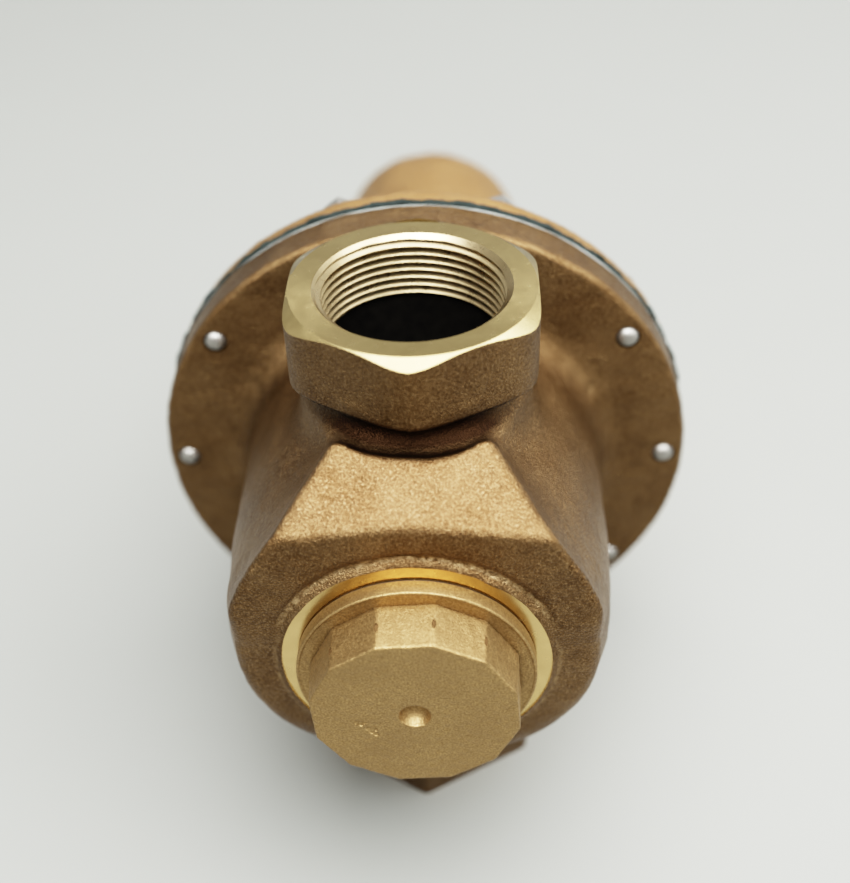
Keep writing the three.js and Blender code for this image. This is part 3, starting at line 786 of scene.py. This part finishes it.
def build_body():
    """The casting with its joint face, boss face, ports, passages, chambers and screw holes cut."""
    mesh = body_casting()
    mesh = cut(mesh, block("back", (-90, FLANGE_BACK, -90), (90, FLANGE_BACK + 9, 90), BOSS))
    mesh = cut(mesh, rod("front", BOSS_RADIUS, BOSS_FACE - 9, BOSS_FACE, segments=192, slot=BOSS))
    for side in (1, -1):
        mesh = cut(mesh, *port_tools(side))
    passage_end = PORT_FACE - THREAD_LENGTH + 0.4
    inlet = duct("inlet", (0, passage_end, 23.4), (-28, 20, 16), slot=INSIDE)
    outlet = duct("outlet", (9, -22, 16), (0, -passage_end, 23.4), slot=INSIDE)
    front = rod("front", PLUG_HOLE, BOSS_FACE - 2, -12, slot=INSIDE)
    throat = rod("throat", 17.3, -14, CHAMBER_BACK + 1, slot=INSIDE)
    rear = turned("rear", soften([
        (0, CHAMBER_BACK), (19.3, CHAMBER_BACK), (30, 4), (42, 18), (46, 31.5), (57, 35.5),
        (57, FLANGE_BACK + 2), (0, FLANGE_BACK + 2),
    ], 2.5, False), slot=INSIDE)
    mesh = cut(mesh, front, throat, rear, inlet, outlet)
    hole = rod("hole", SCREW_HOLE, FLANGE_FRONT - 8, FLANGE_BACK + 2, segments=40, slot=INSIDE)
    mesh = shade(cut_at_screws(mesh, hole), 24, (CAST, INSIDE, THREAD))
    add_piece("valve_body_casting", mesh, BODY_MATERIALS, "casing", ["valve_body"], "cast_bronze")


# ---- bottom plug

def plug_head():
    """The twelve-sided head, with draft and slightly rounded edges, and the dimple in its face."""
    field = Field((-29, PLUG_FRONT - 3, -29), (29, PLUG_BASE + 3, 29), 0.32)
    draft = 0.045
    shape = None
    for k in range(HEAD_SIDES):
        angle = HEAD_TURN + TAU * (k + 0.5) / HEAD_SIDES
        across = field.X * math.cos(angle) + field.Z * math.sin(angle)
        flat = across - (HEAD_FLAT + draft * (field.Y - PLUG_BASE))
        shape = flat if shape is None else smooth_common(shape, flat, 0.3)
    shape = smooth_common(shape, PLUG_FRONT - field.Y + 0.10 * lumps(field, 1.5, 23), 0.5)
    shape = smooth_common(shape, field.Y - PLUG_BASE - 1.5, 0.3)
    shape = shape + 0.06 * lumps(field, 4.0, 21)
    dimple = np.sqrt(field.X ** 2 + (field.Y - PLUG_FRONT + 1.0) ** 2 + field.Z ** 2) - 4.0
    shape = smooth_common(shape, -dimple, 0.15)
    return field.mesh(shape, "plug_head")


# x and z of the dents in the plug's face
FACE_DENTS = ((-13.9, -2.2), (-13.0, -3.0), (-12.3, -2.3), (-11.3, -4.6), (-10.5, -5.9), (-9.6, -6.7),
              (-9.9, -5.0))


def plug_pits():
    """Narrow casting pits on some of the head's edges, and shallow dents in its face."""
    draw = np.random.default_rng(14)
    for k in (1, 2, 3, 4, 8, 11):
        angle = HEAD_TURN + TAU * k / HEAD_SIDES
        middle = PLUG_FRONT + draw.uniform(4.0, 7.0)
        width, length = draw.uniform(0.45, 0.65), draw.uniform(1.1, 1.8)
        yield pit(25.6 * math.cos(angle), middle, 25.6 * math.sin(angle), width, length, slot=1)
    for x, z in FACE_DENTS:
        yield pit(x, PLUG_FRONT, z, draw.uniform(0.7, 1.1), 0.32, slot=0)


def pit(x, middle, z, width, length, slot):
    """A small spindle along Y, to be cut out."""
    profile = [(0, middle - length), (0.7 * width, middle - 0.7 * length), (width, middle),
               (0.7 * width, middle + 0.7 * length), (0, middle + length)]
    return moved(turned("pit", profile, segments=12, slot=slot), x, z)


def build_plug():
    """The plug's head, collar and shank, hollow round the guide of the stem."""
    collar_back = BOSS_FACE - 0.45
    shank = PLUG_HOLE - 0.3
    collar = turned("collar", soften([
        (0, PLUG_BASE), (COLLAR_RADIUS - 0.9, PLUG_BASE), (COLLAR_RADIUS - 0.5, PLUG_BASE - 0.25),
        (COLLAR_RADIUS, PLUG_BASE), (COLLAR_RADIUS, collar_back), (shank + 0.4, collar_back),
        (shank, collar_back + 1), (shank, PLUG_END), (0, PLUG_END),
    ], 0.3, False), segments=192)
    mesh = combine(plug_head(), collar, "UNION")
    floor = -57
    hollow = turned("hollow", soften(ring_outline(9.5, 21, floor, PLUG_END + 2), 0.5, True), True)
    guide = rod("guide", 10.5, -40, PLUG_END + 3)
    bore = rod("bore", 7.3, floor, PLUG_END + 4, segments=64)
    mesh = shade(cut(mesh, hollow, guide, bore, *plug_pits()), 30)
    add_piece("bottom_plug_turned", mesh, ["plug", "pit"], "casing", ["bottom_plug"], "machined_brass")


# ---- flange seals

SHEET_CLAMP = 57.0       # the diaphragm is held by the flanges outside this radius
SHEET_FLAT = 39.0        # and by the plates inside this one


def build_seals():
    """The pale gasket and the rubber diaphragm, whose edges show between the two flanges."""
    low, high = box_mm("diaphragm_gasket")
    gasket = turned("gasket", ring_outline(SHEET_CLAMP, high[0] + 0.1, low[1], high[1]), True, 192)
    hole = rod("hole", SCREW_HOLE, FLANGE_BACK - 3, FLANGE_BACK + 14, segments=32)
    gasket = shade(cut_at_screws(gasket, hole))
    add_piece("flange_gasket", gasket, ["fibre"], "casing", ["diaphragm_gasket"], "fibre")
    rubber = shade(cut_at_screws(diaphragm_mesh(), hole))
    roll_diaphragm(add_piece("diaphragm_sheet", rubber, ["rubber"], "casing", ["diaphragm"], "rubber"))


def diaphragm_mesh():
    """A flat disc with one round convolution between the plates and the flanges."""
    low, _ = box_mm("diaphragm")
    front, back = low[1], low[1] + 2.2
    outer = FLANGE_RADIUS + 0.6
    upper, lower = [], []
    steps = 28
    for i in range(steps + 1):
        t = i / steps
        radius = SHEET_FLAT + (SHEET_CLAMP - SHEET_FLAT) * t
        lift = 5.0 * math.sin(math.pi * t) ** 2
        upper.append((radius, front + lift))
        lower.insert(0, (radius, back + lift))
    mesh = turned("sheet", [
        (STEM_HOLE, front), *upper, (outer - 0.2, front), (outer, front + 0.4), (outer, back - 0.4),
        (outer - 0.2, back), *lower, (STEM_HOLE, back),
    ], True, 360)
    ragged_edge(mesh, outer)
    return mesh


def ragged_edge(mesh, outer):
    """Makes the cut edge of the rubber sheet slightly uneven."""
    for vertex in mesh.vertices:
        x, y, z = vertex.co
        radius = math.hypot(x, z)
        if radius > (outer - 1) * MM:
            angle = math.atan2(z, x)
            drift = 0.20 * math.sin(23 * angle + 1) + 0.18 * math.sin(59 * angle)
            drift += 0.12 * math.sin(131 * angle + 2)
            scale = 1 + drift * MM / radius
            vertex.co = (x * scale, y, z * scale)


def blend_to_stem(item):
    """Takes the piece off its body, with no transform of its own."""
    item.parent = None
    item.matrix_world = Matrix.Identity(4)
    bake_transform(item)


def roll_diaphragm(item):
    """Takes the diaphragm off its body."""
    x, _, z = values_of(item.data.vertices, "co", np.float32, 3).reshape(-1, 3).T
    blend_to_stem(item)


# ---- spring cage

BARREL_END = CAGE_END - 3
SPRING_ROOM_END = CAGE_END - 10.5


def cage_casting():
    """The rim, bell, barrel and screwed nose over the spring, with a faint mould seam."""
    field = Field((-79, CAGE_RIM_FRONT - 4, -79), (79, CAGE_END + 4, 79), 1.1)
    rim = field.turned([
        (-90, CAGE_RIM_FRONT - 3), (FLANGE_RADIUS, CAGE_RIM_FRONT - 3), (FLANGE_RADIUS, CAGE_RIM_BACK - 0.8),
        (FLANGE_RADIUS - 0.8, CAGE_RIM_BACK), (-90, CAGE_RIM_BACK),
    ])
    bell = field.turned(soften([
        (-90, CAGE_RIM_FRONT), (59.5, CAGE_RIM_FRONT), (59, CAGE_RIM_BACK + 3), (50, CAGE_RIM_BACK + 17),
        (38, 78), (34.4, 92), (BARREL_RADIUS + 1.9, BARREL_END - 9), (BARREL_RADIUS + 0.6, BARREL_END - 3),
        (BARREL_RADIUS - 8, BARREL_END), (-90, BARREL_END),
    ], 8, True, 5))
    nose = field.turned(ring_outline(-90, 12, BARREL_END - 8, CAGE_END + 2))
    shape = smooth_union(smooth_union(rim, bell, 6), nose, 3)
    seam = 0.35 * np.exp(-(field.X / 0.9) ** 2) * smooth_step(62, 48, np.hypot(field.X, field.Z))
    shape = shape - seam + 0.25 * lumps(field, 18, 31) + 0.10 * lumps(field, 7, 33)
    return field.mesh(shape, "cage")


def build_cage():
    """The cage, hollowed for the spring and machined at its joint, nose, vent and screw holes."""
    room = turned("room", soften([
        (0, CAGE_RIM_FRONT - 2), (57, CAGE_RIM_FRONT - 2), (54, CAGE_RIM_FRONT + 3), (51, 54.5), (42, 67.5),
        (29.5, 80), (25, 92), (25, SPRING_ROOM_END - 4.5), (21, SPRING_ROOM_END), (0, SPRING_ROOM_END),
    ], 3, False))
    vent = rod("vent", 2.5, -15, 15, segments=32)
    across = Matrix.Rotation(math.pi / 2, 4, "Z")
    vent.transform(about_crossing(Matrix.Translation((47 * MM, 66 * MM, 0)) @ across))
    mesh = cut(
        cage_casting(),
        block("joint", (-90, CAGE_RIM_FRONT - 9, -90), (90, CAGE_RIM_FRONT, 90), 1),
        block("seat", (-20, CAGE_END, -20), (20, CAGE_END + 9, 20), 1),
        room,
        rod("thread", ADJUSTER_HOLE, SPRING_ROOM_END - 10.5, CAGE_END + 5, segments=64),
        vent,
    )
    hole = rod("hole", SCREW_HOLE, CAGE_RIM_FRONT - 3, CAGE_RIM_BACK + 3, segments=32)
    spot = rod("spot", 8.0, CAGE_RIM_BACK - 0.02, CAGE_RIM_BACK + 8, segments=64, slot=1)
    mesh = shade(cut_at_screws(mesh, spot, hole), 24, (0,))
    add_piece("spring_cage_casting", mesh, ["cage", "turned_brass"], "casing", ["spring_cage"], "cage_bronze")


# ---- screws and nuts

def hexagon(name, flats, start, end, chamfer=0.6):
    """A hexagon bar along Y whose corners are turned off at both ends."""
    corner = flats / math.sqrt(3)
    prism = loft(name, np.array([around(corner, full_turn(6), y) for y in (start, end)]))
    drop = (corner - flats / 2) * chamfer
    limit = turned(name, [
        (0, start), (flats / 2 - 0.2, start), (corner + 0.1, start + drop), (corner + 0.1, end - drop),
        (flats / 2 - 0.2, end), (0, end),
    ], False, 96)
    return combine(prism, limit, "INTERSECT")


def screw_thread(radius, pitch, start, end):
    """A metric-style outside thread with tapered ends."""
    depth = 0.61 * pitch

    def radius_at(angle, height):
        phase = (height / pitch - angle / TAU) % 1.0
        flank = np.clip(np.abs(phase - 0.5) * 2.3 - 0.08, 0, 1)
        ends = np.clip(np.minimum(height - start, end - height) / (1.2 * pitch), 0, 1)
        return radius - depth * np.maximum(flank, 1 - ends)

    return helical("thread", start, end, radius_at, rows=int((end - start) / pitch * 12) + 2, segments=72)


def build_cage_screws():
    """Hexagon-headed screws with washers: their domed ends stand out of the body flange."""
    tip, top, _ = extent("cage_screw_01")
    seat = CAGE_RIM_BACK + 0.05
    head = hexagon("head", 9, seat + 0.3, top)
    collar = turned("collar", soften(ring_outline(0, 5.1, seat, seat + 0.8), 0.2, False), segments=64)
    shank = turned("shank", [
        (0, tip), (1.2, tip + 0.10), (2.0, tip + 0.35), (2.6, tip + 0.85), (2.9, tip + 1.5),
        (SCREW_RADIUS, tip + 2.2), (SCREW_RADIUS, seat + 0.8), (0, seat + 0.8),
    ], False, 48)
    mesh = shade(combine(combine(head, collar, "UNION"), shank, "UNION"), 28)
    for i, (x, z) in enumerate(screw_places()):
        node = f"cage_screw_{i + 1:02d}"
        place = Matrix.Translation((x * MM, 0, z * MM)) @ Matrix.Rotation(1.7 * i, 4, "Y")
        add_piece(f"flange_screw_{i + 1:02d}", mesh, ["steel"], "casing", [node], "steel", place)


def build_nut(node, flats, bore, body):
    front, back, _ = extent(node)
    nut = cut(hexagon(node, flats, front, back), rod("bore", bore, front - 2, back + 2, segments=64))
    add_piece(f"{node}_hexagon", shade(nut, 28), ["steel"], body, [node], "steel")


def build_adjuster():
    """The adjusting screw, its lock nut and washer."""
    inner_end, top, _ = extent("adjusting_screw")
    head_start = top - 9
    thread = screw_thread(ADJUSTER_RADIUS, ADJUSTER_PITCH, inner_end, head_start + 0.5)
    mesh = combine(hexagon("head", 17, head_start, top), thread, "UNION")
    add_piece("adjusting_screw_threaded", shade(mesh, 30), ["steel"], "screw", ["adjusting_screw"], "steel")
    build_nut("lock_nut", 19, ADJUSTER_RADIUS + 0.25, "nut")
    low, high = box_mm("lock_washer")
    outline = ring_outline(ADJUSTER_HOLE, high[0], low[1], high[1])
    washer = turned("washer", soften(outline, 0.25, True), True, 96)
    add_piece("lock_washer_disc", shade(washer), ["steel"], "washer", ["lock_washer"], "steel")


# ---- inside parts

def build_turned_part(node, profile, material, body, slot, closed=True, radius=0.4):
    mesh = shade(turned(node, soften(profile, radius, closed), closed, 96), 28)
    add_piece(f"{node}_turned", mesh, [material], body, [node], slot)


def build_seat_ring():
    front, back, outer = extent("seat_ring")
    shoulder = front + 1.5
    thread = shoulder + 2.95
    build_turned_part("seat_ring", [
        (12.5, front), (14.1, front), (15.1, shoulder), (outer, shoulder), (outer, thread), (17, thread),
        (17, back), (12.5, back),
    ], "turned_brass", "casing", "machined_brass", radius=0.3)


def build_plug_fittings():
    """The stem's guide, pressed into the plug, and the gasket under the plug's collar."""
    front, back, outer = extent("guide_bushing")
    build_turned_part("guide_bushing", ring_outline(STEM_HOLE, outer, front, back),
                      "turned_brass", "casing", "machined_brass")
    outline = ring_outline(PLUG_HOLE, COLLAR_RADIUS - 0.3, BOSS_FACE - 0.40, BOSS_FACE - 0.05)
    build_turned_part("plug_gasket", outline, "dark_fibre", "casing", "fibre", radius=0.1)


def build_stem():
    """The stem, with a thick middle whose shoulders carry the disc and the plates."""
    front, back, middle = extent("valve_stem")
    disc_shoulder = extent("disc_washer")[1] + 0.05
    plate_shoulder = extent("diaphragm_washer")[0] - 0.05
    build_turned_part("valve_stem", [
        (0, front), (4.2, front), (5, front + 1), (5, disc_shoulder), (middle, disc_shoulder),
        (middle, plate_shoulder), (5, plate_shoulder), (5, back - 1), (4.2, back), (0, back),
    ], "turned_steel", "stem", "steel", closed=False)


def build_disc():
    """The rubber disc in its holder, with its washer."""
    front, rim, outer = extent("disc_holder")
    floor = front + 3.95
    build_turned_part("disc_holder", [
        (STEM_HOLE, front), (11, front), (outer, front + 3), (outer, rim), (outer - 2, rim),
        (outer - 2, floor), (STEM_HOLE, floor),
    ], "turned_brass", "stem", "machined_brass")
    for node, material, radius in (("seat_disc", "rubber", 0.6), ("disc_washer", "steel", 0.25)):
        front, back, outer = extent(node)
        build_turned_part(node, ring_outline(STEM_HOLE, outer, front, back), material, "stem", material,
                          radius=radius)


def build_plates():
    """The plates on both sides of the diaphragm. The upper one is the spring's seat."""
    front, back, outer = extent("diaphragm_washer")
    build_turned_part("diaphragm_washer", [
        (STEM_HOLE, front), (outer - 6, front), (outer, front + 1.6), (outer, back), (STEM_HOLE, back),
    ], "turned_brass", "stem", "machined_brass")
    front, rim, outer = extent("pressure_plate")
    floor = front + 3.4
    build_turned_part("pressure_plate", [
        (STEM_HOLE, front), (outer - 2, front), (outer, front + 2.4), (outer, rim), (outer - 2.5, rim),
        (outer - 4, floor), (22.4, floor), (21.7, floor + 1.6), (21.7, floor + 0.3), (STEM_HOLE, floor),
    ], "turned_steel", "stem", "steel", radius=0.3)


def build_spring_button():
    front, back, outer = extent("spring_button")
    socket = front + 8.5
    build_turned_part("spring_button", [
        (0, front), (outer, front), (outer, front + 7), (10, front + 10), (10, back), (ADJUSTER_HOLE, back),
        (ADJUSTER_HOLE, socket), (0, socket),
    ], "turned_steel", "button", "steel", closed=False, radius=0.5)


def build_trim():
    """The seat ring, the stem and what it carries, and the button on the spring's outer end."""
    build_seat_ring()
    build_plug_fittings()
    build_stem()
    build_disc()
    build_plates()
    build_spring_button()
    build_nut("disc_nut", 14, STEM_HOLE, "stem")
    build_nut("stem_nut", 16, STEM_HOLE, "stem")


def coil(start, end, wire):
    """The middle line of a coil with nearly flat end turns, and its direction away from the axis."""
    turns, per_turn, radius = 7, 48, 18.5
    t = np.linspace(0, 1, turns * per_turn + 1)
    flat = 0.06
    eased = np.clip((t - flat) / (1 - 2 * flat), 0, 1)
    closing = np.clip(t / flat, 0, 1) + np.clip((t - 1 + flat) / flat, 0, 1)
    end_rise = wire * 2.1
    height = start + end_rise * closing / 2 + (end - start - end_rise) * eased
    angle = TAU * turns * t
    line = np.stack([radius * np.cos(angle), height, radius * np.sin(angle)], -1)
    return line, np.stack([np.cos(angle), np.zeros(len(t)), np.sin(angle)], -1)


def wire_mesh(name, line, outward, wire, sides=20):
    """A round wire along a line."""
    along = np.gradient(line, axis=0)
    along /= np.linalg.norm(along, axis=1)[:, None]
    sideways = np.cross(outward, along)
    ring = full_turn(sides)[None, :, None]
    return loft(name, line[:, None] + wire * np.cos(ring) * outward[:, None]
                + wire * np.sin(ring) * sideways[:, None])


def build_spring():
    """The adjusting spring, added on the casing's body and then taken off it."""
    low, high, _ = extent("adjusting_spring")
    wire = 2.4
    start, end = low + wire, high - wire
    mesh = shade(wire_mesh("spring", *coil(start, end, wire), wire), 50)
    item = add_piece("adjusting_spring_coil", mesh, ["spring"], "casing", ["adjusting_spring"],
                     "spring_steel")
    height = values_of(mesh.vertices, "co", np.float32, 3)[1::3]
    blend_to_stem(item)


# ---- stage

def build_floor():
    """A pale floor under the outlet port's face."""
    level, size = -PORT_FACE * MM, 6.0
    corners = [(-size, -size, level), (size, -size, level), (size, size, level), (-size, size, level)]
    mesh = bpy.data.meshes.new("floor")
    mesh.from_pydata(corners, [], [(0, 1, 2, 3)])
    n = Surface("floor")
    tone = n.mix(n.noise(40, 2, 0.5), (0.279, 0.287, 0.264), (0.287, 0.295, 0.272))
    mesh.materials.append(n.finish(Base_Color=tone, Roughness=0.6))
    floor = bpy.data.objects.new("floor", mesh)
    bpy.context.scene.collection.objects.link(floor)


def add_area_light(name, place, target, width, depth, radiance):
    data = bpy.data.lights.new(name, "AREA")
    data.shape = "RECTANGLE"
    data.size, data.size_y = width, depth
    data.energy = radiance * math.pi * width * depth
    item = bpy.data.objects.new(name, data)
    item.location = place
    item.rotation_euler = (Vector(target) - Vector(place)).to_track_quat("-Z", "Y").to_euler()
    bpy.context.scene.collection.objects.link(item)
    return item


def build_light():
    """A pale room, brighter on the right and darker above, two soft boxes and a key light for the valve."""
    world = bpy.data.worlds.new("room")
    bpy.context.scene.world = world
    world.use_nodes = True
    n = NodeTree(world.node_tree)
    x, y, z = n.separate(n.add("ShaderNodeTexCoord").outputs["Generated"])
    sky = n.span(z, 0.40, 0.70, 1.12, n.span(y, -0.2, 0.4, 0.25, 0.8))
    background = world.node_tree.nodes["Background"]
    n.put(background.inputs["Strength"], n.math("MULTIPLY", sky, n.span(x, -1, 1, 0.45, 1.60)))
    n.put(background.inputs["Color"], (0.97, 0.985, 0.96))
    add_area_light("overhead", (0.40, RUN_Y - 0.24, 1.4), (0.40, RUN_Y - 0.24, 0), 2.1, 1.9, 10.5)
    add_area_light("right", (1.15, RUN_Y - 0.20, 1.0), (0, RUN_Y, 0), 0.8, 0.8, 7.5)
    key = add_area_light("key", (-0.16, RUN_Y - 0.84, 1.42), (0, RUN_Y, 0), 1.4, 0.9, 30.0)
    valve_only = bpy.data.collections.new("valve_only")
    for item in PIECES:
        valve_only.objects.link(item)
    key.light_linking.receiver_collection = valve_only


FOCUS_DISTANCE = 0.292   # metres, from the camera to the front corners of the inlet hexagon


def build_camera():
    """The camera, placed in millimetres about the crossing of the axes and turned in radians."""
    place = (13.25, -249.2, 234.5)
    pitch, yaw, roll = 0.6883, -0.0466, -0.0367
    forward = Vector((math.sin(yaw) * math.cos(pitch), math.cos(yaw) * math.cos(pitch), -math.sin(pitch)))
    right = Vector((math.cos(yaw), -math.sin(yaw), 0))
    up = right.cross(forward)
    turned_right = right * math.cos(roll) + up * math.sin(roll)
    turned_up = up * math.cos(roll) - right * math.sin(roll)
    axes = Matrix((turned_right, turned_up, -forward)).transposed().to_4x4()
    data = bpy.data.cameras.new("camera")
    data.lens = 49.94
    data.sensor_width = 36
    data.clip_start = 0.01
    position = Vector(to_frame([place])[0])
    focus = bpy.data.objects.new("focus", None)
    focus.location = position + forward * FOCUS_DISTANCE
    bpy.context.scene.collection.objects.link(focus)
    data.dof.use_dof = True
    data.dof.focus_object = focus
    data.dof.aperture_fstop = 5.6
    camera = bpy.data.objects.new("camera", data)
    camera.matrix_world = Matrix.Translation(position) @ axes
    bpy.context.scene.collection.objects.link(camera)
    bpy.context.scene.camera = camera


def set_film_curve():
    """A camera's tone curve: deeper shadows and a soft shoulder, over the standard view."""
    view = bpy.context.scene.view_settings
    view.view_transform = "Standard"
    view.use_curve_mapping = True
    mapping = view.curve_mapping
    brightest, power, top, half = 4.0, 1.35, 1.05, 0.60
    mapping.white_level = (brightest, brightest, brightest)
    points = mapping.curves[3].points
    count = 16
    for i in range(1, count + 1):
        place = (i / count) ** 3
        light = (place * brightest) ** power
        value = min(1.0, top * light / (light + half))
        if i < count:
            points.new(place, value)
        else:
            points[len(points) - 1].location = (place, value)
    mapping.update()


build_body()
build_plug()
build_seals()
build_cage()
build_cage_screws()
build_adjuster()
build_trim()
build_spring()
build_floor()
build_light()
build_camera()
set_film_curve()
